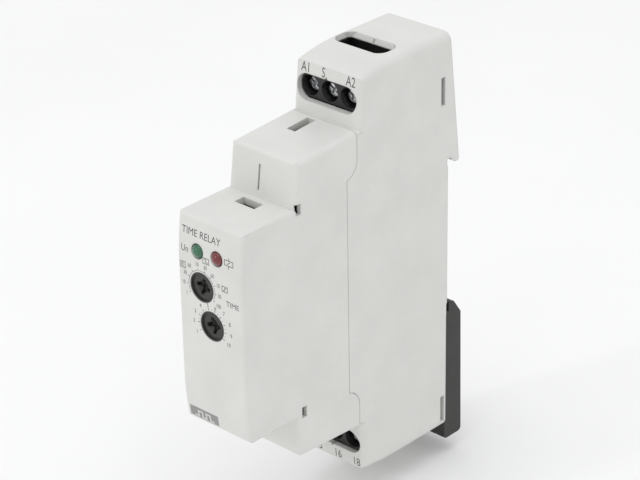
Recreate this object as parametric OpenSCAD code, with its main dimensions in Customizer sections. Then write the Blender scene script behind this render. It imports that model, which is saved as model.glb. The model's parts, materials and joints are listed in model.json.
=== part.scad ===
// Time relay for a 35 mm DIN rail, one module wide.
// Origin: centre of the rail seat. +Z is up, +X is right, and the front faces -Y.
// Side profiles are drawn as [y, z] points, front profiles as [x, z] and plans as [x, y].

/* [Housing] */
// Width of the housing, one module
body_w = 17.6; // [17.5:0.1:17.8]
// Height of the housing at the terminals
body_h = 90; // [89:0.5:91]
// Distance from the rail seat to the middle of the front face
front_depth = 59.8; // [59.5:0.1:60.0]
// Height of the nose that shows through a panel cover
nose_h = 45; // [44.8:0.1:45.4]
// Thickness of the side walls
wall = 1.0; // [0.9:0.05:1.0]

/* [Front] */
// How far the front face curves back towards its top and bottom
crown = 0.9; // [0.7:0.1:1.1]
// Diameter of the two setting dials
dial_d = 6.2; // [6.0:0.1:6.3]
// Depth of the dish in a dial
dish_depth = 0.35; // [0.2:0.05:0.5]
// Diameter of the two indicator lamps
led_d = 3.0; // [2.8:0.1:3.1]

/* [Terminals] */
// Distance between neighbouring terminals
pitch = 5.03; // [5.0:0.01:5.05]
// Diameter of a clamp screw's thread
screw_d = 2.9; // [2.8:0.05:2.9]
// Diameter of a clamp screw's head
head_d = 3.3; // [3.2:0.1:3.6]
// Travel of a clamp cage from open to closed
clamp_travel = 3.0; // [2:0.5:3]

/* [Rail clip] */
// Width of the rail clip
clip_w = 16.8; // [16:0.1:17]
// Distance that the clip can be pulled down
clip_travel = 4; // [3:0.5:4]

/* [Fits] */
// Radial clearance of everything that turns
running_gap = 0.05; // [0.03:0.01:0.08]

/* [Hidden] */
$fn = 48;
eps = 0.01;
far = 80;

// Side profile of the enclosure
front_y = -front_depth;
nose_z = nose_h/2;
top_z = body_h/2;
step_y = -45.4;          // front of the middle step where it leaves the nose
step_lean = 1.3;         // how far that face leans back towards the top
step_lean_low = 0.5;     // and towards the bottom
step_z = 32.1;           // front edge of the middle step's top
shelf_z = 33.4;          // back edge of the middle step's top
term_y = -26.9;          // front of the terminal part at the shelf
term_lean = 1.2;
brow_z = 43.4;           // where the terminal front meets the curved roof
brow_low_z = 44.2;       // and where it meets the curved bottom
roof_y = -13.9;          // where the curved roof becomes flat
overlap = 5;             // how far each part of the profile reaches into the next
front_wall = 1.5;
roof_wall = 1.2;
back_wall = 1.5;
nose_draft = 0.2;        // each nose side narrows by this much towards the front
nose_rise = 0.25;        // and its top and bottom by this much
crown_flat = 12;         // half height of the flat middle of the front face
crown_r = ((nose_z - crown_flat)^2 + crown^2)/(2*crown);
edge_r = 0.8;
rim_depth = crown + edge_r + 0.3;   // the nose's sides and ends only flare behind this
step_edge_r = 1.3;
roof_edge_r = 1.8;
roof_run = roof_y - term_y - term_lean;
roof_r = end_radius(brow_z);
floor_r = end_radius(brow_low_z);

// Rear profile
seat_top = 16.0;
seat_bottom = -15.4;
slot_top = 17.7;
slot_gap = 1.15;         // room for a 1 mm rail flange
lip_z = 16.4;
lip_y = 3.45;
back_top = 0.5;          // the back wall's outer face at the roof
relief = 0.2;            // the wall beside the seat stands back by this much
lower_y = -0.25;         // back wall below the seat
lower_z = -18.1;

// Seam between the cover and the rear housing
seam_y = -27.4;
tongue_y = -30.4;
seam_r = 4;
seam_z = 27.5;
seam_gap = 0.07;

// Terminals
term_mid = -0.28;
term_x = [term_mid - pitch, term_mid, term_mid + pitch];
screw_z = 38.2;
head_front = -23.7;
head_t = 1.3;
bar_front = -17.6;       // contact bar, front face
bar_t = 0.6;
bar_w = 2.4;
cage_w = 4.0;
cage_h = 5.6;
cage_side = 0.4;
cage_nut = 1.0;
cage_floor = 0.8;
cage_front = bar_front - 0.1 - cage_nut;
cage_len = 7.1;
chamber_front = cage_front - clamp_travel - 0.2;
chamber_gap = 0.1;
block_front = -24.5;
block_back = -9.6;
block_foot = 29.6;
jog = [28.3, 29.5];      // where a contact bar steps sideways, below its block
wire_floor = 31;         // the room for a wire's end reaches down to here
wire_back = -12.4;
block_w = 15.5;
well_d = 4.2;
block_pad = 0.6;         // how far the block comes forward inside its window
window = [15.5, 5.5, 2.7];
window_x = -0.05;
window_z = 38.25;
entry_lo = [-7.3, -17.1];   // wire opening in the roof, as seen from above
entry_hi = [5.9, -11.2];
entry_r = 2.4;
entry_taper = 0.3;

// Controls on the front
range_pos = [-2.2, 8.45];
time_pos = [0.2, 0.85];
green_pos = [-3.2, 15.8];
red_pos = [1.95, 15.85];
dial_sunk = 0.05;        // the rim of a dial lies just below the front face
dial_t = 2.1;
led_front = 0.65;        // how far a lamp's dome stands out
shaft_d = 3.0;
shaft_end = -51.7;
pot_w = 6.8;
front_board_y = -49.5;
front_board_t = 1.2;

// Main board, parallel to the left side
board_x = -7.2;
board_t = 1.6;
board_face = board_x + board_t;
header_pitch = 2.5;
header_pins_n = 6;
header_z = -6;
contact_pin_z = [27.5, 25, 21.5];   // where each contact bar turns to the board

// Rail clip
clip_back = 5.5;
clip_front = -0.15;
clip_bottom = -48.7;
guide_w = 5.0;
guide_gap = 0.1;
guide_top = -20.5;
guide_len = 6;
spring_d = 3.0;
spring_wire = 0.5;
spring_turns = 6;
spring_y = -4.15;
spring_foot = -39;
shoe_w = 8.4;

// Relay
relay_y = -24.45;
relay_w = 10.1;
relay_z = [-23.5, 5];
relay_top = board_face + 12.3;
relay_base_t = 1.2;
relay_axis_x = 0.2;
core_r = 1.5;
coil_z = [-20.7, -8.7];
pivot_x = 5.15;          // knife edge that the armature rocks on
pivot_z = -7.0;

// ---------- helpers ----------

module box(lo, hi) { translate(lo) cube(hi - lo); }

// Extrude a [y, z] profile along X, a [x, z] profile along Y, an [x, y] plan along Z
module along_x(x0, x1) { translate([x0, 0, 0]) rotate([90, 0, 90]) linear_extrude(x1 - x0) children(); }
module along_y(y0, y1) { translate([0, y1, 0]) rotate([90, 0, 0]) linear_extrude(y1 - y0) children(); }
module along_z(z0, z1) { translate([0, 0, z0]) linear_extrude(z1 - z0) children(); }

// A cylinder along Y at [x, z], and one along X at [y, z]
module rod_y(pos, r, y0, y1) {
  translate([pos[0], y1, pos[1]]) rotate([90, 0, 0]) cylinder(r = r, h = y1 - y0);
}

module rod_x(pos, r, x0, x1) {
  translate([x0, pos[0], pos[1]]) rotate([0, 90, 0]) cylinder(r = r, h = x1 - x0);
}

module rounded_rect(size, r) {
  square([size[0] - 2*r, size[1]], center = true);
  square([size[0], size[1] - 2*r], center = true);
  for (sx = [-1, 1], sy = [-1, 1])
    translate([sx*(size[0]/2 - r), sy*(size[1]/2 - r)]) circle(r = r);
}

// What has to be taken off to round a square corner that the body leaves towards dir
module corner_waste(corner, dir, r) {
  difference() {
    translate(corner + dir*(r/2 - eps)) square(r + 2*eps, center = true);
    translate(corner + dir*r) circle(r = r);
  }
}

function unit(v) = v/norm(v);

// The same for a corner that isn't square, and that its sides leave along the unit vectors a and b
module skew_waste(corner, a, b, r) {
  half = acos(a*b)/2;
  mid = unit(a + b);
  centre = corner + mid*r/sin(half);
  reach = r/tan(half);
  difference() {
    polygon([
      centre, centre + 2*(corner + a*reach - centre), corner - 2*r*mid,
      centre + 2*(corner + b*reach - centre)
    ]);
    translate(centre) circle(r = r);
  }
}

module both_ends() { for (s = [0, 1]) mirror([0, 0, s]) children(); }

// ---------- enclosure profiles ----------

// Everything behind the front face, which is flat in the middle and curves back beyond it
module crown_limit(front) {
  translate([front, -crown_flat]) square([far, 2*crown_flat]);
  for (s = [0, 1]) mirror([0, s]) intersection() {
    translate([front + crown_r, crown_flat]) circle(r = crown_r, $fn = 180);
    translate([front, crown_flat - eps]) square([crown_r, crown_r]);
  }
}

// Rounds the edge between the curved front face and the nose's flat end at z
module crown_corner_waste(front, z, r) {
  from = [front + crown_r, crown_flat];
  rise = z - r - crown_flat;
  centre = [from[0] - sqrt((crown_r - r)^2 - rise^2), z - r];
  outward = (centre - from)/(crown_r - r);
  difference() {
    polygon([centre, centre + 2*r*outward, [front - 1, z + 1], [centre[0], z + 1]]);
    translate(centre) circle(r = r);
  }
}

// Nose, set in by t_front on its front and by t_end at its ends
module nose_profile(t_front, t_end, r) {
  front = front_y + t_front;
  rim = front + rim_depth;
  back = step_y + overlap;
  z = nose_z - t_end;
  z1 = z + nose_rise;
  difference() {
    intersection() {
      polygon([[front, -z], [rim, -z], [step_y, -z1], [back, -z1],
               [back, z1], [step_y, z1], [rim, z], [front, z]]);
      crown_limit(front);
    }
    for (s = [0, 1]) mirror([0, s]) crown_corner_waste(front, z, r);
  }
}

// Middle step, whose top and bottom rise towards the terminal part
module step_profile(t_front, t_end, r) {
  front = step_y + t_front;
  back = term_y + overlap;
  difference() {
    polygon([for (s = [-1, 1]) each (s < 0)
      ? [[back, -shelf_z + t_end], [front + step_lean_low, -step_z + t_end], [front, -nose_z + t_end]]
      : [[front, nose_z - t_end], [front + step_lean, step_z - t_end], [back, shelf_z - t_end]]]);
    step_corner_waste([front + step_lean, step_z - t_end], step_lean, r);
    mirror([0, 1]) step_corner_waste([front + step_lean_low, step_z - t_end], step_lean_low, r);
  }
}

module step_corner_waste(corner, lean, r) {
  down = unit([-lean, nose_z - step_z]);
  back = unit([term_y + overlap - step_y - lean, shelf_z - step_z]);
  skew_waste(corner, down, back, r);
}

// Radius of the terminal part's roof or bottom, which meets the front at height z
function end_radius(z) = (roof_run^2 + (top_z - z)^2)/(2*(top_z - z));

// Terminal part, with the roof curved down towards the front and the bottom curved up
module terminal_profile(t_front, t_end) {
  front = term_y + t_front;
  z = top_z - t_end;
  intersection() {
    polygon([
      [front, -shelf_z], [front + term_lean, -z], [far, -z],
      [far, z], [front + term_lean, z], [front, shelf_z]
    ]);
    union() {
      translate([roof_y, -far]) square([2*far, 2*far]);
      intersection() {
        translate([roof_y, z - roof_r]) circle(r = roof_r, $fn = 96);
        translate([-far, 0]) square([2*far, far]);
      }
      intersection() {
        translate([roof_y, floor_r - z]) circle(r = floor_r, $fn = 96);
        translate([-far, -far]) square([2*far, far]);
      }
    }
  }
}

// Everything in front of the back wall's outer face
module back_limit() {
  polygon([
    [-far, -far], [lower_y, -far], [lower_y, lower_z], [-relief, lower_z], [-relief, seat_bottom],
    [0, seat_bottom], [0, seat_top], [-relief, seat_top], [-relief, slot_top], [slot_gap, slot_top],
    [slot_gap, lip_z + 0.7], [slot_gap + 1, lip_z], [lip_y - 0.2, lip_z], [lip_y, lip_z + 0.3],
    [back_top, top_z], [back_top, far], [-far, far]
  ]);
}

// Everything in front of its inner face
module back_cavity_limit() {
  floor_z = slot_top + back_wall;
  polygon([
    [-far, -far], [lower_y - back_wall, -far], [lower_y - back_wall, lower_z],
    [-relief - back_wall, lower_z], [-relief - back_wall, floor_z],
    [lip_y - back_wall - 0.3, floor_z], [back_top - back_wall, top_z],
    [back_top - back_wall, far], [-far, far]
  ]);
}

// The rear housing's side of the seam, moved forward by gap
module behind_seam(gap) {
  translate([seam_y - gap, -far]) square([2*far, 2*far]);
  difference() {
    translate([tongue_y - gap, -seam_z]) square([seam_y - tongue_y + 1, 2*seam_z]);
    for (s = [-1, 1])
      translate([seam_y - seam_r, s*seam_z]) circle(r = seam_r - gap);
  }
}

// Plan of the enclosure: straight sides, a drafted nose and rounded corners
module plan(t) {
  half = body_w/2 - t;
  difference() {
    polygon([
      [-half, far], [-half, step_y], [-half + nose_draft, front_y + rim_depth],
      [-half + nose_draft, front_y], [half - nose_draft, front_y],
      [half - nose_draft, front_y + rim_depth], [half, step_y], [half, far]
    ]);
    if (t == 0) for (s = [-1, 1]) corner_waste([s*(half - nose_draft), front_y], [-s, 1], edge_r);
  }
}

module rounded_tier(y0, h, r) {
  intersection() {
    along_y(y0, far) rounded_rect([body_w, h], r);
    along_z(-far, far) plan(0);
    children();
  }
}

// What rounds the nose's upright front edges where the front face curves back
module crown_edge_waste() {
  for (sx = [-1, 1], sz = [0, 1]) mirror([0, 0, sz]) intersection() {
    translate([0, front_y + crown_r, crown_flat]) rotate([0, 90, 0]) rotate_extrude($fn = 180)
      corner_waste([crown_r, sx*(body_w/2 - nose_draft)], [-1, -sx], edge_r);
    box([-far, front_y - 1, crown_flat], [far, front_y + 3, far]);
  }
}

// The same for the terminal part's side edges, where its roof or bottom of radius r is curved
module roof_edge_waste(r) {
  for (sx = [-1, 1]) intersection() {
    translate([0, roof_y, top_z - r]) rotate([0, 90, 0]) rotate_extrude($fn = 180)
      corner_waste([r, sx*body_w/2], [-1, -sx], roof_edge_r);
    box([-far, term_y - 1, 0], [far, roof_y, far]);
  }
}

// What rounds the upright edges of a front face that leans back by lean between z0 and z1
module lean_edge_waste(front, lean, z0, z1, r) {
  for (sx = [-1, 1]) translate([0, front, z0]) rotate([-atan2(lean, z1 - z0), 0, 0])
    along_z(-1, z1 - z0 + 5) corner_waste([sx*body_w/2, 0], [-sx, 1], r);
}

// What rounds the side edges of the middle step's sloping top
module slope_edge_waste(lean) {
  front = step_y + lean;
  for (sx = [-1, 1]) translate([0, front, step_z])
    rotate([atan2(shelf_z - step_z, term_y + overlap - front), 0, 0])
      along_y(-2, far) corner_waste([sx*body_w/2, 0], [-sx, -1], step_edge_r);
}

module middle_step(half) {
  difference() {
    rounded_tier(step_y, 2*shelf_z, edge_r) along_x(-half, half) step_profile(0, 0, edge_r);
    for (low = [0, 1]) mirror([0, 0, low]) {
      lean = low == 1 ? step_lean_low : step_lean;
      lean_edge_waste(step_y, lean, nose_z, step_z, step_edge_r);
      slope_edge_waste(lean);
    }
  }
}

module terminal_part(half) {
  difference() {
    rounded_tier(term_y, body_h, roof_edge_r) along_x(-half, half) terminal_profile(0, 0);
    both_ends() lean_edge_waste(term_y, term_lean, shelf_z, top_z, roof_edge_r);
  }
}

module outer_form() {
  half = body_w/2;
  difference() {
    intersection() {
      union() {
        rounded_tier(front_y, nose_h + 2*nose_rise, edge_r) along_x(-half, half) nose_profile(0, 0, edge_r);
        middle_step(half);
        terminal_part(half);
      }
      along_x(-half, half) back_limit();
    }
    crown_edge_waste();
    roof_edge_waste(roof_r);
    mirror([0, 0, 1]) roof_edge_waste(floor_r);
  }
}

module inner_form() {
  half = body_w/2 - wall;
  intersection() {
    along_z(-far, far) plan(wall);
    along_x(-half, half) intersection() {
      union() {
        nose_profile(front_wall, roof_wall, 0.5);
        step_profile(front_wall, roof_wall, 0.5);
        terminal_profile(front_wall, roof_wall);
      }
      back_cavity_limit();
    }
  }
}

// ---------- housing ----------

module window_cut() {
  along_y(term_y - 2, block_front + 0.2) union() {
    translate([window_x, window_z]) rounded_rect([window[0], window[1]], window[2]);
    translate([-0.25, window_z + window[1]/2]) polygon([[-0.45, -0.2], [0.45, -0.2], [0, 0.55]]);
  }
}

// Wire opening: rounded from above, and tapering inwards on all four sides
module wire_entry_cut() {
  c = (entry_lo + entry_hi)/2;
  s = entry_hi - entry_lo;
  z0 = top_z - roof_wall - 0.1;
  z1 = top_z + 0.1;
  t = entry_taper;
  intersection() {
    along_z(z0, z1) translate(c) rounded_rect(s, entry_r);
    along_y(-far, 0)
      polygon([[entry_lo[0] + t, z0], [entry_hi[0] - t, z0], [entry_hi[0], z1], [entry_lo[0], z1]]);
    along_x(-far, far)
      polygon([[entry_lo[1] + t, z0], [entry_hi[1] - 2*t, z0], [entry_hi[1], z1], [entry_lo[1], z1]]);
  }
}

module side_slot(y, z) {
  for (s = [0, 1]) mirror([s, 0, 0])
    box([body_w/2 - wall - 0.5, y[0], z[0]], [body_w/2 + 1, y[1], z[1]]);
}

// Shallow pockets inside the side walls, where the cover's barbs click in
module barb_pockets(grow) {
  for (sx = [0, 1], sz = [0, 1]) mirror([sx, 0, 0]) mirror([0, 0, sz])
    along_z(24.8 - grow, 28 + grow) translate([body_w/2 - wall - 0.1, -23.6])
      polygon([[0, -0.8 - grow], [0.35 + grow, 0.4], [0.35 + grow, 0.9 + grow], [0, 0.9 + grow]]);
}

module rear_housing() color([0.87, 0.87, 0.85]) {
  inner = body_w/2 - wall;
  guide = guide_w/2 + guide_gap;
  difference() {
    intersection() {
      outer_form();
      along_x(-far, far) behind_seam(0);
    }
    inner_form();
    both_ends() window_cut();
    both_ends() wire_entry_cut();
    side_slot([-2.18, -1.03], [30, 36]);
    side_slot([-1.88, -0.73], [-43.3, -37.3]);
    barb_pockets(0.1);
    box([-guide, -4, guide_top - guide_len - clip_travel - 1], [guide, 1, guide_top + 0.1]);
  }
  // Ledges that hold the main board off the left wall
  for (z = [-14, 0, 14])
    box([-inner - eps, -12, z - 1], [board_x, -10, z + 1]);
  // Foot of the clip spring
  box([-3, spring_y - 2, spring_foot - 1], [3, lower_y - back_wall + eps, spring_foot]);
  // Small mould rib on the back wall of the upper wire opening
  box([-0.9, entry_hi[1] - 0.5, top_z - roof_wall], [-0.65, entry_hi[1] + 0.1, top_z - 0.1]);
}

// Latch slots in the tops of the nose and the middle step, grown by g, each with its own heights
module latch_cut(g, nose_lo, nose_hi, step_lo, step_hi) {
  box([-3 - g, -49.4 - g, nose_lo], [2.2 + g, -46.95 + g, nose_hi]);
  box([-3.2 - g, -34.3 - g, step_lo], [-1.1 + g, min(-28.4 + g, seam_y - 0.3), step_hi]);
}

module front_cover() color([0.88, 0.88, 0.86]) {
  inner = body_w/2 - wall;
  difference() {
    union() {
      difference() {
        outer_form();
        inner_form();
      }
      // Collars that make the roof deeper around the latch slots
      latch_cut(0.8, nose_z - 1.35, nose_z - roof_wall + 0.4, step_z - 0.7, step_z - 0.1);
    }
    latch_cut(0, nose_z - 3, nose_z + 1, step_z - 2, shelf_z + 2);
    along_x(-far, far) behind_seam(seam_gap);
    for (p = [range_pos, time_pos])
      rod_y(p, dial_d/2 + running_gap, front_y - 1, front_y + front_wall + 1);
    for (p = [green_pos, red_pos])
      rod_y(p, led_d/2 + 0.08, front_y - 1, front_y + front_wall + 1);
    // Narrow slit in the front of the middle step
    box([-1.0, step_y - 1, 24.2], [-0.6, step_y + 4, 29.4]);
    // Latch holes through the sides
    for (s = [0, 1]) mirror([s, 0, 0]) {
      box([inner - 1, -44.9, 21.5], [inner + 2, -43.55, 23.7]);
      box([inner - 1, -44.35, -23.2], [inner + 2, -43.05, -20.8]);
    }
  }
  // Snap tabs that reach into the rear housing
  for (sx = [0, 1], sz = [0, 1]) mirror([sx, 0, 0]) mirror([0, 0, sz])
    union() {
      box([inner - 1.1, -31, 24.8], [inner - 0.1, -22.6, 28]);
      box([inner - 1.1, -31, 24.8], [inner + 0.3, -28.6, 28]);
    }
  barb_pockets(0);
}

// ---------- rail clip ----------

module rail_clip() color([0.24, 0.24, 0.23]) {
  catch_top = -15.7;
  floor_z = -17.8;
  difference() {
    along_x(-clip_w/2, clip_w/2) difference() {
      polygon([
        [clip_front, clip_bottom], [clip_back, clip_bottom], [clip_back - 0.4, -19.4],
        [2.9, catch_top - 0.5], [1.6, catch_top], [slot_gap, catch_top - 0.2], [slot_gap, floor_z],
        [0.05, floor_z], [0.05, lower_z - 0.2], [clip_front, lower_z - 0.2]
      ]);
      corner_waste([clip_back, clip_bottom], [-1, 1], 1.0);
      corner_waste([clip_front, clip_bottom], [1, 1], 1.0);
    }
    // Slot for a screwdriver, and two moulded pockets in the back
    box([-3, 1.2, clip_bottom - 1], [3, 3.4, clip_bottom + 3.4]);
    for (z = [-43, -32]) box([-6.6, clip_back - 1.2, z], [6.6, clip_back + 1, z + 9.4]);
  }
  // Guide web and shoe, which run in the housing's back wall
  inner_face = lower_y - back_wall;
  foot = guide_top - guide_len;
  box([-guide_w/2, inner_face - 0.2, foot], [guide_w/2, clip_front + eps, guide_top]);
  box([-shoe_w/2, spring_y - 1.9, foot], [shoe_w/2, inner_face - 0.1, guide_top]);
}

// Ring k of a coil spring's wire, with n corners
function coil_ring(k, n, per_turn, rise) =
  let (a = 360*k/per_turn, m = [cos(a), sin(a)]) [
    for (j = [0:n - 1]) let (b = 360*j/n, q = spring_d/2 + spring_wire/2*cos(b))
      [m[0]*q, m[1]*q, spring_wire/2 + rise*k + spring_wire/2*sin(b)]
  ];

module clip_spring() color([0.7, 0.7, 0.72]) {
  n = 6;
  per_turn = 12;
  rings = spring_turns*per_turn;
  length = guide_top - guide_len - spring_foot;
  rise = (length - spring_wire)/rings;
  points = [for (k = [0:rings]) each coil_ring(k, n, per_turn, rise)];
  walls = [for (k = [0:rings - 1], j = [0:n - 1]) let (a = k*n, b = a + n, i = (j + 1) % n)
    [a + j, b + j, b + i, a + i]];
  ends = [[for (j = [0:n - 1]) j], [for (j = [n - 1:-1:0]) rings*n + j]];
  translate([0, spring_y, spring_foot]) polyhedron(points, concat(walls, ends), convexity = 8);
}

// ---------- terminals ----------

module terminal_block() color([0.13, 0.13, 0.13]) {
  roof = top_z - roof_wall - 0.1;
  difference() {
    union() {
      along_x(-block_w/2, block_w/2) polygon([
        [block_front, block_foot], [block_back, block_foot], [block_back, roof],
        [roof_y, roof], [block_front, brow_z - roof_wall - 1.5]
      ]);
      along_y(block_front - block_pad, block_front + eps) translate([window_x, window_z])
        rounded_rect([window[0] - 0.2, window[1] - 0.2], window[2] - 0.1);
    }
    // Funnel under the wire opening
    box([entry_lo[0] + 0.3, bar_front + bar_t, screw_z + cage_h/2 + chamber_gap - eps],
        [entry_hi[0] - 0.1, entry_hi[1] - 0.4, roof + 1]);
    for (x = term_x) {
      rod_y([x, screw_z], well_d/2, block_front - 1, head_front + head_t + 0.05);
      rod_y([x, screw_z], screw_d/2 + 0.1, head_front, chamber_front + 1);
      cage_room(x);
      // Room for the end of the wire, and the contact bar's slot
      box([x - cage_w/2 + cage_side, bar_front + bar_t - eps, wire_floor],
          [x + cage_w/2 - cage_side, wire_back, screw_z]);
      box([x - bar_w/2, bar_front, block_foot - 1], [x + bar_w/2, bar_front + bar_t, screw_z]);
    }
  }
}

module cage_room(x) {
  box([x - cage_w/2 - chamber_gap, chamber_front, screw_z - cage_h/2 - chamber_gap],
      [x + cage_w/2 + chamber_gap, cage_front + cage_len + chamber_gap, screw_z + cage_h/2 + chamber_gap]);
}

module upper_terminal_block() terminal_block();
module lower_terminal_block() mirror([0, 0, 1]) terminal_block();

// Clamp screw with a combined slot and cross in its head
module clamp_screw(x, s) color([0.75, 0.76, 0.78]) translate([x, 0, s*screw_z]) {
  difference() {
    union() {
      rod_y([0, 0], head_d/2, head_front + 0.25, head_front + head_t);
      translate([0, head_front + 0.25, 0]) rotate([90, 0, 0])
        cylinder(r1 = head_d/2, r2 = head_d/2 - 0.3, h = 0.25);
      rod_y([0, 0], screw_d/2, head_front + head_t - eps, bar_front - 0.05);
    }
    for (a = [30, 120]) rotate([0, a, 0])
      box([-1.15, head_front - 1, -0.26], [1.15, head_front + 0.85, 0.26]);
    rotate([0, 30, 0]) box([-3, head_front - 1, -0.26], [3, head_front + 0.6, 0.26]);
  }
}

// Rising cage: a threaded wall in front, two sides, and the floor that lifts the wire
module clamp_cage(x, s) color([0.72, 0.72, 0.74]) translate([x, 0, s*screw_z]) {
  difference() {
    along_z(-cage_h/2, cage_h/2) translate([0, cage_front + cage_len/2])
      rounded_rect([cage_w, cage_len], 0.35);
    box([-cage_w/2 + cage_side, cage_front + cage_nut, -cage_h],
        [cage_w/2 - cage_side, cage_front + cage_len - cage_floor, cage_h]);
    rod_y([0, 0], screw_d/2 + running_gap, cage_front - 1, cage_front + cage_nut + 0.5);
  }
}

// Contact bar: a flat stamping that runs from the clamp to a pin in the main board
module contact_bar(k, s) color([0.80, 0.62, 0.32]) mirror([0, 0, s < 0 ? 1 : 0]) {
  x = term_x[k];
  z = contact_pin_z[k];
  foot_x = max(x, board_face + 2.8);
  along_y(bar_front, bar_front + bar_t) union() {
    translate([x - bar_w/2, jog[0]]) square([bar_w, screw_z + cage_h/2 - jog[0]]);
    translate([min(x, foot_x) - bar_w/2, jog[0]]) square([abs(foot_x - x) + bar_w, jog[1] - jog[0]]);
    translate([foot_x - bar_w/2, z]) square([bar_w, jog[1] - z]);
    translate([board_x - 0.5, z]) square([foot_x - board_x, 1]);
  }
}

// ---------- controls ----------

module dial(pos, angle) color([0.27, 0.27, 0.25]) translate([pos[0], front_y, pos[1]]) {
  difference() {
    rod_y([0, 0], dial_d/2, dial_sunk, dial_t);
    // Dish inside a raised rim
    rod_y([0, 0], dial_d/2 - 0.3, -1, dial_sunk + dish_depth);
    // Cross for a screwdriver, with a pocket at its centre
    for (a = [angle, angle + 90]) rotate([0, a, 0])
      box([-1.75, -1, -0.42], [1.75, 1.4, 0.42]);
    rod_y([0, 0], 0.85, -1, 1.6);
    translate([0, dial_sunk + dish_depth - eps, 0]) rotate([-90, 0, 0])
      cylinder(r1 = 1.5, r2 = 0.85, h = 0.6);
  }
  rod_y([0, 0], shaft_d/2, dial_t - eps, shaft_end - front_y);
}

module range_dial() dial(range_pos, 12);
module time_dial() dial(time_pos, -8);

// Body that a dial's shaft turns in, soldered to the front board
module pot_body(pos, tint) color(tint) translate([pos[0], 0, pos[1]]) {
  difference() {
    along_y(front_board_y - 5.2, front_board_y) rounded_rect([pot_w, pot_w], 0.5);
    rod_y([0, 0], shaft_d/2 + running_gap, front_board_y - 6, front_board_y - 1.2);
  }
  for (x = [-2, 0, 2]) rod_y([x, 1.5], 0.25, front_board_y - eps, front_board_y + front_board_t + 0.8);
}

module range_switch() pot_body(range_pos, [0.2, 0.28, 0.5]);
module time_pot() pot_body(time_pos, [0.2, 0.35, 0.55]);

module led(pos, tint) color(tint) translate([pos[0], 0, pos[1]]) {
  r = led_d/2;
  dome_y = front_y + r - led_front;
  translate([0, dome_y, 0]) sphere(r = r);
  rod_y([0, 0], r, dome_y, -54.5);
  rod_y([0, 0], r + 0.35, -54.5 - eps, -53.8);
  for (x = [-0.9, 0.9]) rod_y([x, 0], 0.25, -53.8 - eps, front_board_y + front_board_t + 0.8);
}

module green_led() led(green_pos, [0.1, 0.45, 0.25]);
module red_led() led(red_pos, [0.6, 0.1, 0.1]);

// ---------- boards ----------

module header_pins(grow) {
  w = 0.25 + grow;
  for (k = [0:header_pins_n - 1]) let (z = header_z + (k - (header_pins_n - 1)/2)*header_pitch) {
    box([-4.3 - w, front_board_y - 0.8, z - w], [-4.3 + w, -46, z + w]);
    box([board_x - 0.5, -46.9 - w, z - w], [-4, -46.9 + w, z + w]);
  }
}

module pin_header() color([0.15, 0.15, 0.15]) {
  half = header_pins_n*header_pitch/2;
  box([board_face, front_board_y + front_board_t, header_z - half], [-3.2, -45.8, header_z + half]);
  header_pins(0);
}

module front_board() color([0.1, 0.35, 0.2]) difference() {
  box([-6.4, front_board_y, -20], [7.0, front_board_y + front_board_t, 20]);
  header_pins(0.08);
  for (p = [range_pos, time_pos], x = [-2, 0, 2])
    rod_y([p[0] + x, p[1] + 1.5], 0.33, front_board_y - 1, front_board_y + 3);
  for (p = [green_pos, red_pos], x = [-0.9, 0.9])
    rod_y([p[0] + x, p[1]], 0.33, front_board_y - 1, front_board_y + 3);
}

module relay_pins(r) {
  for (p = [[-27.5, 3.2], [-24.45, 3.2], [-21.4, 3.2], [-27.5, -21.5], [-21.4, -21.5]])
    rod_x(p, r, board_x - 0.5, board_face + 0.5);
}

module main_board() color([0.1, 0.38, 0.22]) difference() {
  along_x(board_x, board_face) union() {
    translate([-47.5, -20]) square([10, 40]);
    translate([-43.3, -24]) square([30, 48]);
    translate([-21.5, -28.2]) square([14.5, 56.4]);
  }
  header_pins(0.08);
  relay_pins(0.5);
  both_ends() for (z = contact_pin_z)
    box([board_x - 1, bar_front - 0.05, z - 0.05], [board_face + 1, bar_front + bar_t + 0.05, z + 1.05]);
  for (z = [-18, 18]) rod_x([-10, z], 1.2, board_x - 1, board_face + 1);
}

// ---------- relay ----------

module relay_base() color([0.12, 0.12, 0.12]) {
  y = [relay_y - relay_w/2, relay_y + relay_w/2];
  box([board_face, y[0], relay_z[0]], [board_face + relay_base_t, y[1], relay_z[1]]);
  relay_pins(0.4);
}

module relay_cap() color([0.15, 0.15, 0.16]) {
  t = 0.6;
  y = [relay_y - relay_w/2, relay_y + relay_w/2];
  difference() {
    box([board_face + relay_base_t, y[0], relay_z[0]], [relay_top, y[1], relay_z[1]]);
    box([board_face, y[0] + t, relay_z[0] + t], [relay_top - t, y[1] - t, relay_z[1] - t]);
  }
}

module relay_tube(r_out, r_in, z0, z1) {
  translate([relay_axis_x, relay_y, z0]) difference() {
    cylinder(r = r_out, h = z1 - z0);
    translate([0, 0, -1]) cylinder(r = r_in, h = z1 - z0 + 2);
  }
}

module relay_bobbin() color([0.85, 0.82, 0.72]) {
  relay_tube(2.2, core_r, coil_z[0] - 0.8, coil_z[1] + 0.8);
  relay_tube(4.0, 2.0, coil_z[0] - 0.8, coil_z[0]);
  relay_tube(4.0, 2.0, coil_z[1], coil_z[1] + 0.8);
}

module relay_coil() color([0.72, 0.40, 0.18]) relay_tube(3.7, 2.2, coil_z[0], coil_z[1]);

module relay_core() color([0.6, 0.6, 0.62])
  translate([relay_axis_x, relay_y, -21.9]) cylinder(r = core_r, h = 14.3);

module relay_yoke() color([0.58, 0.58, 0.6])
  along_y(relay_y - 3.4, relay_y + 3.4)
    polygon([[-2.5, -22.8], [5.6, -22.8], [5.6, -7.4], [4.7, -7.4], [4.7, -21.9], [-2.5, -21.9]]);

module relay_armature() color([0.62, 0.62, 0.64]) {
  box([-2.2, relay_y - 3.2, pivot_z], [pivot_x, relay_y + 3.2, pivot_z + 0.8]);
  rod_y([pivot_x, pivot_z], 0.35, relay_y - 3.2, relay_y + 3.2);
}

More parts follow.
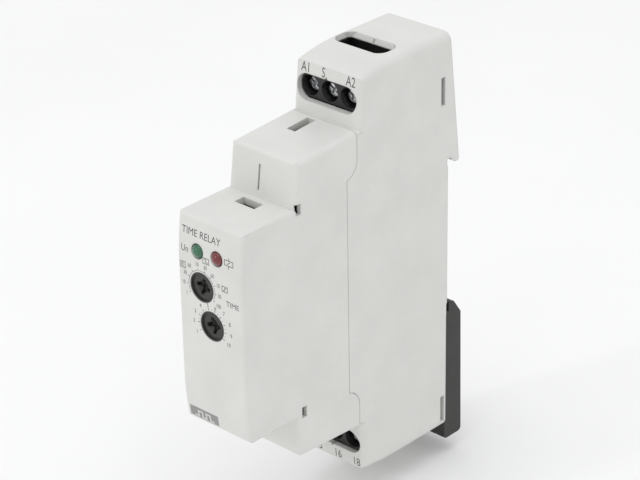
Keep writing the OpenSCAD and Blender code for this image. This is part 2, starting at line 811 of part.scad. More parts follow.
module relay_leaf() color([0.82, 0.55, 0.3]) {
  foot = pivot_z + 0.8;
  along_y(relay_y - 1.6, relay_y + 1.6)
    polygon([[2.4, foot], [3.85, foot], [3.85, 1.5], [3.6, 1.5], [3.6, foot + 0.25], [2.4, foot + 0.25]]);
  rod_x([relay_y, 0.5], 0.8, 3.25, 4.2);
}

// Fixed contact on a bent strip that comes up from the relay's base
module fixed_contact(face, x, z) {
  root = board_face + relay_base_t;
  foot = -0.6;
  t = 0.3;
  along_y(relay_y - 1.4, relay_y + 1.4)
    polygon([[root, z], [x + t, z], [x + t, foot], [x, foot], [x, z - t], [root, z - t]]);
  rod_x([relay_y, 0.5], 0.8, min(face, x + 0.15), max(face, x + 0.15));
}

module relay_no_contact() color([0.8, 0.6, 0.35]) fixed_contact(2.46, 1.85, 2.3);
module relay_nc_contact() color([0.8, 0.6, 0.35]) fixed_contact(4.22, 4.55, 3.5);

// ---------- components on the main board ----------

module can(y, z, d, h, tint) color(tint) difference() {
  rod_x([y, z], d/2, board_face, board_face + h);
  translate([0, y, z]) for (a = [0, 90]) rotate([a, 0, 0])
    box([board_face + h - 0.15, -d/3, -0.15], [board_face + h + 1, d/3, 0.15]);
}

module smoothing_capacitor() can(-36, -14, 8, 11.5, [0.16, 0.18, 0.3]);
module output_capacitor() can(-35, 2, 5, 9, [0.16, 0.18, 0.3]);

module film_capacitor() color([0.55, 0.55, 0.57])
  along_x(board_face, board_face + 10) translate([-38, 14]) rounded_rect([6, 11], 0.6);

module varistor() color([0.15, 0.35, 0.65]) {
  centre = [board_face + 4.6, 15];
  rod_y(centre, 3.6, -26.5, -23.5);
  for (x = [-2, 2]) box([board_face, -25.3, centre[1] + x - 0.3], [centre[0], -24.7, centre[1] + x + 0.3]);
}

module fuse_resistor() color([0.45, 0.62, 0.7]) {
  axis_x = board_face + 1.5;
  translate([axis_x, -12, 8]) cylinder(r = 1.2, h = 7);
  translate([axis_x, -12, 6]) cylinder(r = 0.3, h = 11);
  for (z = [6.3, 16.7]) rod_x([-12, z], 0.3, board_face, axis_x);
}

module choke() color([0.3, 0.3, 0.32]) {
  rod_x([-12, -1], 3, board_face, board_face + 1);
  rod_x([-12, -1], 1.8, board_face + 1 - eps, board_face + 6);
  rod_x([-12, -1], 3, board_face + 6 - eps, board_face + 7);
}

// Flat package with legs on both long sides
module flat_package(y, z, size, legs) {
  step = 1.27;
  box([board_face + 0.15, y - size[0]/2, z - size[1]/2],
      [board_face + size[2], y + size[0]/2, z + size[1]/2]);
  for (k = [0:legs - 1], s = [-1, 1]) let (p = z + (k - (legs - 1)/2)*step, edge = y + s*(size[0]/2 + 0.4))
    box([board_face, edge - 0.5, p - 0.2], [board_face + 0.5, edge + 0.5, p + 0.2]);
}

module rectifier() color([0.12, 0.12, 0.12]) flat_package(-12, -12, [4, 4.8, 2.4], 2);
module microcontroller() color([0.1, 0.1, 0.1]) flat_package(-41, -3, [3.9, 8.6, 1.6], 7);
module relay_driver() color([0.12, 0.12, 0.12]) flat_package(-33, 8, [1.4, 3, 1.2], 2);

// ---------- assembly ----------

rear_housing();
front_cover();
rail_clip();
clip_spring();
upper_terminal_block();
lower_terminal_block();
clamp_screw(term_x[0], 1);  // screw_a1
clamp_screw(term_x[1], 1);  // screw_s
clamp_screw(term_x[2], 1);  // screw_a2
clamp_screw(term_x[0], -1);  // screw_15
clamp_screw(term_x[1], -1);  // screw_16
clamp_screw(term_x[2], -1);  // screw_18
clamp_cage(term_x[0], 1);  // cage_a1
clamp_cage(term_x[1], 1);  // cage_s
clamp_cage(term_x[2], 1);  // cage_a2
clamp_cage(term_x[0], -1);  // cage_15
clamp_cage(term_x[1], -1);  // cage_16
clamp_cage(term_x[2], -1);  // cage_18
contact_bar(0, 1);  // contact_a1
contact_bar(1, 1);  // contact_s
contact_bar(2, 1);  // contact_a2
contact_bar(0, -1);  // contact_15
contact_bar(1, -1);  // contact_16
contact_bar(2, -1);  // contact_18
main_board();
front_board();
pin_header();
range_switch();
time_pot();
range_dial();
time_dial();
green_led();
red_led();
relay_base();
relay_cap();
relay_bobbin();
relay_coil();
relay_core();
relay_yoke();
relay_armature();
relay_leaf();
relay_no_contact();
relay_nc_contact();
varistor();
film_capacitor();
smoothing_capacitor();
output_capacitor();
fuse_resistor();
choke();
rectifier();
microcontroller();
relay_driver();
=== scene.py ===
# Looks of the slim time relay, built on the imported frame.
# Lengths are in metres, apart from those that a comment gives in millimetres.
import json
import math

import bmesh
import bpy
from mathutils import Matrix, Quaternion, Vector
from mathutils.bvhtree import BVHTree

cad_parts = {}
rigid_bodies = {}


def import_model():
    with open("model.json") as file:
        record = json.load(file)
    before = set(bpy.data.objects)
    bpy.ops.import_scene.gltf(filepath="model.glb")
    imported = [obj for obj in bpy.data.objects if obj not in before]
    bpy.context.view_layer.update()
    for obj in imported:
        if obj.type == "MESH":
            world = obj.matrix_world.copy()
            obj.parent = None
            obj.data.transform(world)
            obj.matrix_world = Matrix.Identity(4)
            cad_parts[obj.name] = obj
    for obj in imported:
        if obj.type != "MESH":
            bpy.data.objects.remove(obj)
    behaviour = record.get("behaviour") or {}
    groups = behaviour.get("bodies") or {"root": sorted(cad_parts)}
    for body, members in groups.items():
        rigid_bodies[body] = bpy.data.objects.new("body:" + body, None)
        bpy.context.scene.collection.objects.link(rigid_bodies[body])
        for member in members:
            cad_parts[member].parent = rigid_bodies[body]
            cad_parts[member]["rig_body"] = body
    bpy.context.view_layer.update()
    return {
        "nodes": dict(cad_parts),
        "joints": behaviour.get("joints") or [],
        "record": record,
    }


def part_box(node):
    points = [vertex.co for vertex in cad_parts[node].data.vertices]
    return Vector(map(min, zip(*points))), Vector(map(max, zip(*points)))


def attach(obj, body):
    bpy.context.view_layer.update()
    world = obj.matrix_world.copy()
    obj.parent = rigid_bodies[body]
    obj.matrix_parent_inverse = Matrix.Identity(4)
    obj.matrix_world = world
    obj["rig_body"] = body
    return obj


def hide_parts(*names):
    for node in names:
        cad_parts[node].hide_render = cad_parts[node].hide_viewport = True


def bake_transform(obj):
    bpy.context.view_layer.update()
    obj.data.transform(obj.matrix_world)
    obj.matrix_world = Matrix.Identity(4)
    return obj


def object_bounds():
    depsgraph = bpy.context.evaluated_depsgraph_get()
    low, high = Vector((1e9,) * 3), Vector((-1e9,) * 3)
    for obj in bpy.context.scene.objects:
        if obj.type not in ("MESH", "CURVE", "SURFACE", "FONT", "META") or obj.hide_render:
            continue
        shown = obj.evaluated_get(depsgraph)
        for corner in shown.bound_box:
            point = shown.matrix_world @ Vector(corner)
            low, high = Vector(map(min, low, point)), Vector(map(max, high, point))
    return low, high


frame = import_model()

MM = 0.001
NODES = frame["nodes"]
JOINTS = {joint["name"]: joint for joint in frame["joints"]}
NODE_SLOT = {part["node"]: part["material_slot"] for part in frame["record"]["subparts"]}


def new_object(name, data):
    """A new object in the scene."""
    made = bpy.data.objects.new(name, data)
    bpy.context.scene.collection.objects.link(made)
    return made


# ---------- materials ----------

NOISE_LOW, NOISE_HIGH = 0.3, 0.7       # nearly all values of a noise lie between these
MIX_FACTOR, MIX_A, MIX_B = 0, 6, 7     # the colour inputs of a mix node
MIX_RESULT = 2                         # its colour output


class Graph:
    """One material's node tree, built with short calls."""

    def __init__(self, name):
        self.material = bpy.data.materials.new(name)
        self.material.use_nodes = True
        self.tree = self.material.node_tree
        self.surface = self.tree.nodes["Principled BSDF"]
        self.place = self.add("ShaderNodeTexCoord").outputs["Object"]

    def add(self, kind, inputs=(), **settings):
        """A new node with these settings, and a value or another node's socket for each input."""
        node = self.tree.nodes.new(kind)
        for key, value in settings.items():
            setattr(node, key, value)
        for socket, value in inputs:
            self.put(node.inputs[socket], value)
        return node

    def put(self, socket, value):
        if isinstance(value, bpy.types.NodeSocket):
            self.tree.links.new(value, socket)
        else:
            socket.default_value = value

    def shine(self, **values):
        """Inputs of the surface, written with _ for each space in their names."""
        for key, value in values.items():
            self.put(self.surface.inputs[key.replace("_", " ")], value)

    def noise(self, size, detail=3.0, stretch=(1, 1, 1)):
        """Noise whose features are about size metres wide."""
        place = self.add("ShaderNodeMapping", [("Vector", self.place), ("Scale", stretch)]).outputs[0]
        made = self.add("ShaderNodeTexNoise", [("Vector", place), ("Scale", 1/size), ("Detail", detail)])
        return made.outputs["Fac"]

    def spread(self, value, low, high):
        """A noise stretched to run from low to high."""
        made = self.add("ShaderNodeMapRange", [("Value", value),
                                               ("From Min", NOISE_LOW), ("From Max", NOISE_HIGH),
                                               ("To Min", low), ("To Max", high)])
        return made.outputs[0]

    def tint(self, colour, value, amount):
        """colour, made darker and lighter by amount as value runs from low to high."""
        ramp = self.add("ShaderNodeValToRGB", [("Fac", value)])
        dark, light = ramp.color_ramp.elements
        dark.position = NOISE_LOW
        light.position = NOISE_HIGH
        dark.color = [part*(1 - amount) for part in colour] + [1]
        light.color = [min(part*(1 + amount), 1) for part in colour] + [1]
        return ramp.outputs["Color"]

    def multiply(self, first, second):
        mix = self.add("ShaderNodeMix", [(MIX_FACTOR, 1.0), (MIX_A, first), (MIX_B, second)],
                       data_type="RGBA", blend_type="MULTIPLY")
        return mix.outputs[MIX_RESULT]

    def relief(self, height, depth, strength, rounding=0.0):
        """Bumps of the given depth, on edges that look rounded by rounding."""
        inputs = [("Height", height), ("Distance", depth), ("Strength", strength)]
        if rounding:
            edge = self.add("ShaderNodeBevel", [("Radius", rounding)], samples=4)
            inputs.append(("Normal", edge.outputs[0]))
        self.shine(Normal=self.add("ShaderNodeBump", inputs).outputs[0])


CLOUD_SIZE = 9*MM          # faint clouds in the colour of a plastic
SPECK_SIZE = 0.3*MM
GLOSS_SIZE = 2.5*MM        # patches of slightly different gloss
GRAIN_SIZE = 0.12*MM
GRAIN_DEPTH = 0.006*MM
BRUSH_SIZE = 0.15*MM       # brush marks on metal, before stretch makes them narrow
BRUSH_DEPTH = 0.004*MM
STAIN_SIZE = 1.2*MM        # clouds in the colour of small parts
WEAVE_SIZE = 1.6*MM        # glass weave and tracks of the boards
WIRE_SIZE = 0.9*MM         # rows of wire on the coil
GLOSS_CHANGE = 0.05        # of a plastic's roughness, up and down, from patch to patch
BRUSH_CHANGE = -0.08, 0.1  # of a metal's roughness, at most, between one brush mark and the next
SHELL_EDGE = 0.35*MM       # how round the edges of the two shells look
PLASTIC_EDGE = 0.08*MM
FINE_EDGE = 0.05*MM        # of metal and of the boards


def plastic(name, colour, roughness, variation=0.03, rounding=PLASTIC_EDGE, coat=0.0):
    """Moulded plastic with a fine grain, and a lacquer where coat is given."""
    graph = Graph(name)
    cloud = graph.tint(colour, graph.noise(CLOUD_SIZE), variation)
    speck = graph.tint((0.98, 0.98, 0.98), graph.noise(SPECK_SIZE, detail=2), amount=0.02)
    glossy, dull = roughness - GLOSS_CHANGE, roughness + GLOSS_CHANGE
    graph.shine(Base_Color=graph.multiply(cloud, speck),
                Roughness=graph.spread(graph.noise(GLOSS_SIZE), glossy, dull),
                Specular_IOR_Level=0.45, Coat_Weight=coat, Coat_Roughness=0.15)
    graph.relief(graph.noise(GRAIN_SIZE, detail=4), GRAIN_DEPTH, strength=0.5, rounding=rounding)
    return graph.material


def metal(name, colour, roughness, stretch=(1, 1, 1)):
    """Metal whose brush marks run across the axis on which stretch makes them narrow."""
    graph = Graph(name)
    brushed = graph.noise(BRUSH_SIZE, detail=4, stretch=stretch)
    glossy, dull = [roughness + change for change in BRUSH_CHANGE]
    graph.shine(Base_Color=graph.tint(colour, graph.noise(STAIN_SIZE), amount=0.12), Metallic=1.0,
                Roughness=graph.spread(brushed, glossy, dull))
    graph.relief(brushed, BRUSH_DEPTH, strength=0.5, rounding=FINE_EDGE)
    return graph.material


def lens(name, colour):
    """Tinted clear plastic of a lamp that is off."""
    graph = Graph(name)
    cloud = graph.tint(colour, graph.noise(STAIN_SIZE), amount=0.18)
    graph.shine(Base_Color=cloud, Roughness=graph.spread(graph.noise(0.6*MM), low=0.22, high=0.28),
                Transmission_Weight=0.15, IOR=1.5, Coat_Weight=0.8, Coat_Roughness=0.2)
    graph.relief(graph.noise(0.5*MM), depth=0.004*MM, strength=0.3)
    return graph.material


def laminate(name, colour):
    """Solder mask with the faint relief of tracks and woven glass."""
    graph = Graph(name)
    weave = graph.add("ShaderNodeTexWave", [("Vector", graph.place), ("Scale", 1/WEAVE_SIZE),
                                            ("Distortion", 6.0), ("Detail", 1.0)]).outputs["Fac"]
    cloud = graph.tint(colour, graph.noise(4*MM), amount=0.15)
    track = graph.tint((0.85, 0.9, 0.85), weave, amount=0.12)
    graph.shine(Base_Color=graph.multiply(cloud, track),
                Roughness=graph.spread(graph.noise(1*MM), low=0.25, high=0.4))
    graph.relief(weave, depth=0.02*MM, strength=0.4, rounding=FINE_EDGE)
    return graph.material


def winding(name, colour):
    """Rows of enamelled wire around an upright coil."""
    graph = Graph(name)
    wire_relief_and_shade = graph.add("ShaderNodeTexWave", [("Vector", graph.place), ("Scale", 1/WIRE_SIZE)],
                     bands_direction="Z").outputs["Fac"]
    # the colour follows the rows' relief: painted highlight on the crown of each row of wire and painted
    # shade in the groove between rows
    graph.shine(Base_Color=graph.tint(colour, wire_relief_and_shade, amount=0.2), Metallic=0.8, Roughness=0.35)
    graph.relief(wire_relief_and_shade, depth=0.05*MM, strength=0.8)
    return graph.material


def ink(name, colour):
    graph = Graph(name)
    graph.shine(Base_Color=graph.tint(colour, graph.noise(0.35*MM), amount=0.12),
                Roughness=graph.spread(graph.noise(0.5*MM), low=0.4, high=0.6))
    graph.relief(graph.noise(0.1*MM, detail=2), depth=0.003*MM, strength=0.4)
    return graph.material


FINISHES = {
    "housing_plastic": (plastic, dict(colour=(0.700, 0.700, 0.675), roughness=0.42, rounding=SHELL_EDGE)),
    "cover_plastic": (plastic, dict(colour=(0.705, 0.705, 0.680), roughness=0.40, rounding=SHELL_EDGE)),
    "clip_plastic": (plastic, dict(colour=(0.020, 0.020, 0.018), roughness=0.42, variation=0.1)),
    "spring_steel": (metal, dict(colour=(0.6, 0.6, 0.62), roughness=0.3)),
    "terminal_plastic": (plastic, dict(colour=(0.012, 0.012, 0.012), roughness=0.35, variation=0.15)),
    "board_laminate": (laminate, dict(colour=(0.02, 0.12, 0.045))),
    "header_plastic": (plastic, dict(colour=(0.015, 0.015, 0.015), roughness=0.45, variation=0.15)),
    "trimmer_plastic": (plastic, dict(colour=(0.02, 0.045, 0.2), roughness=0.45, variation=0.1)),
    "dial_plastic": (plastic, dict(colour=(0.024, 0.024, 0.021), roughness=0.38, variation=0.12)),
    "green_lens": (lens, dict(colour=(0.014, 0.135, 0.060))),
    "red_lens": (lens, dict(colour=(0.165, 0.006, 0.004))),
    "relay_plastic": (plastic, dict(colour=(0.012, 0.012, 0.014), roughness=0.3, variation=0.15)),
    "bobbin_plastic": (plastic, dict(colour=(0.62, 0.56, 0.42), roughness=0.5, variation=0.06)),
    "coil_wire": (winding, dict(colour=(0.55, 0.2, 0.06))),
    "soft_iron": (metal, dict(colour=(0.5, 0.5, 0.52), roughness=0.35, stretch=(1, 1, 12))),
    "contact_spring": (metal, dict(colour=(0.72, 0.42, 0.2), roughness=0.3, stretch=(1, 1, 14))),
    "contact_bar_metal": (metal, dict(colour=(0.75, 0.56, 0.28), roughness=0.28, stretch=(1, 1, 14))),
    "screw_zinc": (metal, dict(colour=(0.66, 0.67, 0.68), roughness=0.24, stretch=(1, 10, 1))),
    "cage_zinc": (metal, dict(colour=(0.6, 0.61, 0.63), roughness=0.34, stretch=(1, 1, 10))),
    "varistor_coating": (plastic, dict(colour=(0.02, 0.07, 0.35), roughness=0.4, variation=0.12)),
    "film_case": (plastic, dict(colour=(0.2, 0.2, 0.22), roughness=0.45, variation=0.08)),
    "capacitor_sleeve": (plastic, dict(colour=(0.01, 0.012, 0.045), roughness=0.25, variation=0.12,
                                       coat=0.3)),
    "resistor_coating": (plastic, dict(colour=(0.12, 0.25, 0.33), roughness=0.4, variation=0.12)),
    "ferrite": (plastic, dict(colour=(0.02, 0.02, 0.022), roughness=0.55, variation=0.2)),
    "package_plastic": (plastic, dict(colour=(0.01, 0.01, 0.01), roughness=0.5, variation=0.2)),
    "front_print": (ink, dict(colour=(0.09, 0.09, 0.09))),
    "tag_print": (ink, dict(colour=(0.28, 0.28, 0.28))),
}
MATERIALS = {slot: finish(slot, **settings) for slot, (finish, settings) in FINISHES.items()}


# ---------- CAD nodes ----------

SMOOTH_ANGLE = math.radians(32)        # faces that turn less than this are shaded as one surface


def dress(mesh, slot_name):
    mesh.materials.clear()
    mesh.materials.append(MATERIALS[slot_name])
    mesh.shade_smooth()
    mesh.set_sharp_from_angle(angle=SMOOTH_ANGLE)


for node_name, node in NODES.items():
    dress(node.data, NODE_SLOT[node_name])


# ---------- edges ----------

SHARP = math.radians(50)               # outer edges that turn more than this are rounded
FLAT = math.radians(0.3)               # faces that turn less than this become one face
SAME_PLACE = 1e-7                      # corners closer than this become one corner
TERMINALS = ("a1", "s", "a2", "15", "16", "18")
SOFT_WIDTHS = {                        # width of the rounding in millimetres
    "rail_clip": 0.15,
    "upper_terminal_block": 0.1,
    "lower_terminal_block": 0.1,
    "range_dial": 0.05,
    "time_dial": 0.05,
}
for terminal in TERMINALS:
    SOFT_WIDTHS["screw_" + terminal] = 0.05
    SOFT_WIDTHS["cage_" + terminal] = 0.05


def softened(name, width):
    """A copy of a CAD node whose sharp outer edges are slightly rounded, shown in its place."""
    work = bmesh.new()
    work.from_mesh(NODES[name].data)
    bmesh.ops.remove_doubles(work, verts=work.verts, dist=SAME_PLACE)
    bmesh.ops.dissolve_limit(work, angle_limit=FLAT, verts=work.verts, edges=work.edges)
    edges = [e for e in work.edges if e.is_manifold and e.is_convex and e.calc_face_angle() > SHARP]
    bmesh.ops.bevel(work, geom=edges, offset=width, offset_type="OFFSET", segments=2, profile=0.5,
                    affect="EDGES", clamp_overlap=False, miter_outer="ARC")
    low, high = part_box(name)
    for corner in work.verts:
        corner.co = [min(max(corner.co[axis], low[axis]), high[axis]) for axis in range(3)]
    mesh = bpy.data.meshes.new("soft_" + name)
    work.to_mesh(mesh)
    work.free()
    dress(mesh, NODE_SLOT[name])
    copy = new_object("soft_" + name, mesh)
    weighted = copy.modifiers.new("weighted", "WEIGHTED_NORMAL")
    weighted.keep_sharp = True
    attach(copy, NODES[name]["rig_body"])
    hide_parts(name)


def coil_spring():
    """A copy of the clip's spring, shown where the spring stands at rest, in place of the CAD node."""
    coils = new_object("spring_coils", NODES["clip_spring"].data.copy())
    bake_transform(coils)
    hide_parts("clip_spring")


for node_name, width in SOFT_WIDTHS.items():
    softened(node_name, width*MM)
coil_spring()


# ---------- printing ----------

INK_PROUD = 0.012*MM
INK_SUNK = 0.02*MM
IN_FRONT = -0.2            # y in front of the whole part, where the rays that find its face start
LETTER_WIDTH = 0.82        # letters are a little narrower than the font's own
MITRE_LIMIT = 0.4          # keeps the corner of a line from reaching out far
BLOCK_ROWS = 6             # a solid block is laid in rows, to follow the face
ARC_STEPS = 10


class Print:
    """Shapes drawn in [x, z] in millimetres, laid on the front of some nodes as a thin solid film."""

    def __init__(self, nodes, proud=INK_PROUD):
        self.trees = [self.tree_of(NODES[name].data) for name in nodes]
        self.film = bmesh.new()
        self.proud = proud

    @staticmethod
    def tree_of(mesh):
        return BVHTree.FromPolygons([v.co for v in mesh.vertices], [p.vertices for p in mesh.polygons])

    def face_y(self, x, z):
        """The y of the face that is seen from the front at [x, z]."""
        hits = [tree.ray_cast(Vector((x, IN_FRONT, z)), Vector((0, 1, 0)))[0] for tree in self.trees]
        return min(hit.y for hit in hits if hit is not None)

    def add(self, points, faces):
        """Faces between points, with a back that is sunk into the part and sides all round."""
        outer, inner = [], []
        for x, z in points:
            y = self.face_y(x*MM, z*MM)
            outer.append(self.film.verts.new((x*MM, y - self.proud, z*MM)))
            inner.append(self.film.verts.new((x*MM, y + INK_SUNK, z*MM)))
        sides = {}
        for face in faces:
            self.film.faces.new([outer[i] for i in face])
            self.film.faces.new([inner[i] for i in reversed(face)])
            sides.update(dict.fromkeys(zip(face, face[1:] + face[:1])))
        for a, b in sides:
            if (b, a) not in sides:
                self.film.faces.new([outer[b], outer[a], inner[a], inner[b]])

    def stroke(self, points, width, closed=False):
        """A line of constant width with mitred corners."""
        count = len(points)
        sides = []
        for i, point in enumerate(points):
            here = Vector(point)
            ahead = Vector(points[(i + 1) % count]) - here if closed or i + 1 < count else None
            behind = here - Vector(points[i - 1]) if closed or i else None
            arriving = (behind or ahead).normalized()
            leaving = (ahead or behind).normalized()
            along = arriving + leaving
            across = Vector((-along.y, along.x)).normalized()
            reach = width/2/max(across.dot(Vector((-arriving.y, arriving.x))), MITRE_LIMIT)
            sides += [tuple(here + across*reach), tuple(here - across*reach)]
        last = count if closed else count - 1
        turns = 2*count
        self.add(sides, [[2*i, 2*i + 1, (2*i + 3) % turns, (2*i + 2) % turns] for i in range(last)])

    def block(self, low, high):
        """A solid rectangle."""
        rows = [low[1] + (high[1] - low[1])*k/BLOCK_ROWS for k in range(BLOCK_ROWS + 1)]
        points = [(x, z) for z in rows for x in (low[0], high[0])]
        self.add(points, [[2*k, 2*k + 1, 2*k + 3, 2*k + 2] for k in range(BLOCK_ROWS)])

    def frame_box(self, low, high, width):
        """The outline of a rectangle."""
        inset = width/2
        x0, z0 = low[0] + inset, low[1] + inset
        x1, z1 = high[0] - inset, high[1] - inset
        self.stroke([(x0, z0), (x1, z0), (x1, z1), (x0, z1)], width, closed=True)

    def text(self, words, centre, height, width=LETTER_WIDTH):
        """Words whose capitals are height tall, centred at centre."""
        curve = bpy.data.curves.new("words", "FONT")
        curve.body = words
        curve.resolution_u = 3
        curve.align_x = "CENTER"
        holder = bpy.data.objects.new("words", curve)
        mesh = bpy.data.meshes.new_from_object(holder)
        tallest = max(v.co.y for v in mesh.vertices)
        scale = height/tallest
        points = []
        for v in mesh.vertices:
            points.append((centre[0] + v.co.x*scale*width, centre[1] + (v.co.y - tallest/2)*scale))
        self.add(points, [list(p.vertices) for p in mesh.polygons])
        bpy.data.objects.remove(holder)
        bpy.data.curves.remove(curve)
        bpy.data.meshes.remove(mesh)

    def finish(self, name, slot_name):
        mesh = bpy.data.meshes.new(name)
        self.film.to_mesh(mesh)
        self.film.free()
        mesh.materials.append(MATERIALS[slot_name])
        film = new_object(name, mesh)
        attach(film, "housing")


def around(centre, radius, clock):
    """The point at a clock angle in degrees, 0 being up and positive to the right."""
    angle = math.radians(clock)
    return centre[0] + radius*math.sin(angle), centre[1] + radius*math.cos(angle)


def arc(centre, radius, start, end):
    return [around(centre, radius, start + (end - start)*k/ARC_STEPS) for k in range(ARC_STEPS + 1)]


def tick(film, centre, radii, clock, width):
    film.stroke([around(centre, radius, clock) for radius in radii], width)


def dial_centre(joint):
    place = JOINTS[joint]["pos_m"]
    return place[0]/MM, place[2]/MM


# What is printed, in millimetres. A scale runs from SCALE_END degrees on the left of the top to
# the same on the right, and each of its labels has its own distance from the dial's centre.
SCALE_END = 120
LINE = 0.14
FINE_LINE = 0.09
DIGIT = 0.85

RANGE_LABELS = [
    ("1", 4.8), ("10", 4.9), ("30", 4.8), ("60", 4.9), ("10", 4.8),
    ("30", 4.7), ("60", 4.6), ("10", 4.8), ("30", 4.7), ("100", 5.0),
]
RANGE_GROUPS = [(0, 1), (1, 4), (4, 7), (7, 9)]      # first and last label of each arc
RANGE_TICK = (3.45, 3.9)
RANGE_ARC = 3.5
ARC_GAP = 0.18             # part of a step left clear at each end of an arc

TIME_LABELS = [
    ("1", 4.85), ("2", 4.9), ("3", 4.85), ("4", 4.65), ("5", 4.35),
    ("6", 4.4), ("7", 5.1), ("8", 5.2), ("9", 5.1), ("10", 4.95),
]
TIME_TICK = (3.35, 3.8)
HALF_TICK = (3.4, 3.65)

FRONT_WORDS = [            # words, their centre, the height of their capitals and their relative width
    ("TIME RELAY", (-2.3, 19.4), 1.45, 0.92),
    ("Un", (-6.55, 15.55), 1.4, LETTER_WIDTH),
    ("TIME", (5.95, 7.3), 1.1, 1.0),
]
SIGNS = [                  # two corners of a sign's box, then its lines
    # the usual sign for a relay's coil: two leads and a slanting bar
    ((4.0, 15.4), (6.35, 16.6),
     [[(5.15, 16.55), (5.15, 17.05)], [(5.15, 14.85), (5.15, 15.45)], [(4.8, 15.7), (5.5, 16.3)]]),
    # beside the groups of ranges: a list, a step down and a step up
    ((-7.95, 11.15), (-6.45, 12.6), [[(-7.6, z), (-6.95, z)] for z in (11.55, 11.9, 12.25)]),
    ((-1.75, 13.85), (-0.05, 15.15), [[(-1.4, 14.8), (-0.9, 14.8), (-0.9, 14.25), (-0.4, 14.25)]]),
    ((3.2, 9.55), (4.75, 10.8), [[(3.55, 9.9), (4.0, 9.9), (4.0, 10.45), (4.4, 10.45)]]),
]
TERMINAL_ROWS = [          # z, height and relative width of a row, then each label and its x
    (42.3, 2.0, 0.72, [("A1", -5.6), ("S", -1.0), ("A2", 6.05)]),
    (-42.85, 1.9, 0.78, [("15", -4.2), ("16", 1.2), ("18", 6.35)]),
]

TAG_LOW, TAG_HIGH = (-7.5, -22.15), (0.25, -19.45)
WAVE_MARGIN_X = 1.2
WAVE_MARGIN_Z = 0.75
WAVE_RUNS = 5              # level stretches of the square wave
WAVE_LINE = 0.4


def scale_angles(count):
    return [-SCALE_END + 2*SCALE_END*k/(count - 1) for k in range(count)]


def range_scale(film):
    """Ten ranges, in groups that share a unit."""
    centre = dial_centre("range_dial_turn")
    count = len(RANGE_LABELS)
    for clock, (label, reach) in zip(scale_angles(count), RANGE_LABELS):
        tick(film, centre, RANGE_TICK, clock, LINE)
        film.text(label, around(centre, reach, clock), DIGIT, width=0.75)
    step = 2*SCALE_END/(count - 1)
    for first, last in RANGE_GROUPS:
        start = -SCALE_END + (first + ARC_GAP)*step
        end = -SCALE_END + (last - ARC_GAP)*step
        film.stroke(arc(centre, RANGE_ARC, start, end), FINE_LINE)


def time_scale(film):
    """One to ten, with a short tick half way between."""
    centre = dial_centre("time_dial_turn")
    angles = scale_angles(len(TIME_LABELS))
    for clock, (label, reach) in zip(angles, TIME_LABELS):
        tick(film, centre, TIME_TICK, clock, LINE)
        film.text(label, around(centre, reach, clock), DIGIT, width=0.85)
    for before, after in zip(angles, angles[1:]):
        tick(film, centre, HALF_TICK, (before + after)/2, FINE_LINE)


def print_front():
    film = Print(["front_cover"])
    for words, centre, height, width in FRONT_WORDS:
        film.text(words, centre, height, width)
    for low, high, lines in SIGNS:
        film.frame_box(low, high, LINE)
        for points in lines:
            film.stroke(points, LINE)
    range_scale(film)
    time_scale(film)
    film.finish("front_print", "front_print")


def square_wave():
    """The corners of the wave, which starts and ends low."""
    low, high = TAG_LOW[1] + WAVE_MARGIN_Z, TAG_HIGH[1] - WAVE_MARGIN_Z
    length = TAG_HIGH[0] - TAG_LOW[0] - 2*WAVE_MARGIN_X
    xs = [TAG_LOW[0] + WAVE_MARGIN_X + k*length/WAVE_RUNS for k in range(WAVE_RUNS + 1)]
    corners = []
    for k, (start, end) in enumerate(zip(xs, xs[1:])):
        z = high if k % 2 else low
        corners += [(start, z), (end, z)]
    return corners


def print_tag():
    """A plain grey block with a square wave in the colour of the cover."""
    block = Print(["front_cover"])
    block.block(TAG_LOW, TAG_HIGH)
    block.finish("tag_print", "tag_print")
    wave = Print(["front_cover"], 2*INK_PROUD)
    wave.stroke(square_wave(), WAVE_LINE)
    wave.finish("tag_wave", "cover_plastic")


def print_terminals():
    film = Print(["rear_housing"])
    for z, height, width, labels in TERMINAL_ROWS:
        for label, x in labels:
            film.text(label, (x, z), height, width)
    film.finish("terminal_print", "front_print")


print_front()
print_tag()
print_terminals()


# ---------- floor, light and camera ----------

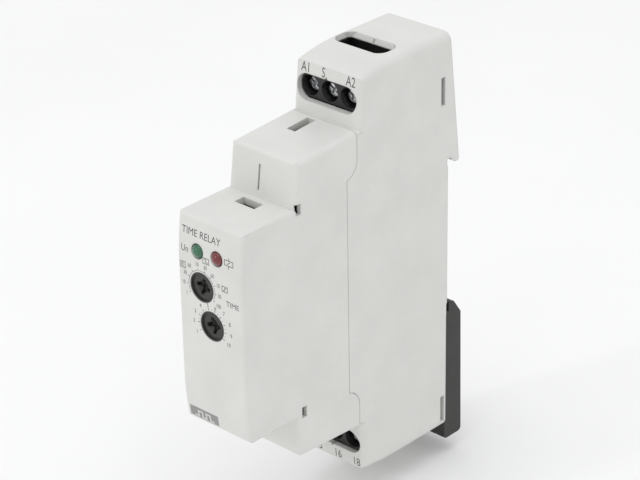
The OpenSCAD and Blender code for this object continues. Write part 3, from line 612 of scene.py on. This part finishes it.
CLIP_TRAVEL = JOINTS["clip_slide"]["range_m"][1]
FLOOR_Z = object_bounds()[0][2] - CLIP_TRAVEL     # clear of the clip when it is pulled down
FLOOR_HALF = 3.0
WORLD_STRENGTH = 0.85
LIGHT_AIM = Vector((0, -0.03, 0))
CAMERA_PLACE = Vector((294.86, -344.71, 225.75))*MM
CAMERA_AIM = Vector((-2.85, -25.88, 5.41))*MM
CAMERA_ROLL = math.radians(-1.06)
CAMERA_LENS = 137.2        # millimetres, as is the sensor
CAMERA_SENSOR = 36


def point_at(obj, place, aim, roll=0.0):
    """Put a light or the camera at place and turn it towards aim."""
    obj.location = place
    turn = (aim - place).to_track_quat("-Z", "Y") @ Quaternion((0, 0, 1), roll)
    obj.rotation_euler = turn.to_euler()


def make_floor():
    mesh = bpy.data.meshes.new("floor")
    signs = [(-1, -1), (1, -1), (1, 1), (-1, 1)]
    mesh.from_pydata([(x*FLOOR_HALF, y*FLOOR_HALF, FLOOR_Z) for x, y in signs], [], [(0, 1, 2, 3)])
    graph = Graph("floor")
    graph.shine(Base_Color=graph.tint((0.93, 0.93, 0.93), graph.noise(60*MM), amount=0.01),
                Roughness=0.7, Specular_IOR_Level=0.1)
    mesh.materials.append(graph.material)
    new_object("floor", mesh)


def make_world():
    world = bpy.data.worlds.new("studio")
    world.use_nodes = True
    back = world.node_tree.nodes["Background"]
    back.inputs["Color"].default_value = (1.0, 1.0, 1.0, 1)
    back.inputs["Strength"].default_value = WORLD_STRENGTH
    bpy.context.scene.world = world


def make_light(name, place, size, power, colour=(1, 1, 1)):
    data = bpy.data.lights.new(name, "AREA")
    data.shape = "RECTANGLE"
    data.size, data.size_y = size
    data.energy = power
    data.color = colour
    point_at(new_object(name, data), Vector(place), LIGHT_AIM)


def make_camera():
    data = bpy.data.cameras.new("camera")
    data.lens = CAMERA_LENS
    data.sensor_width = CAMERA_SENSOR
    camera = new_object("camera", data)
    point_at(camera, CAMERA_PLACE, CAMERA_AIM, CAMERA_ROLL)
    bpy.context.scene.camera = camera


make_floor()
make_world()
make_light("overhead", place=(0.1, -0.1, 0.9), size=(0.8, 0.8), power=2.0, colour=(0.95, 0.97, 1.0))
make_light("sparkle", place=(-0.27, -0.82, 0.43), size=(0.08, 0.15), power=0.7)
make_camera()
bpy.context.scene.view_settings.view_transform = "Standard"
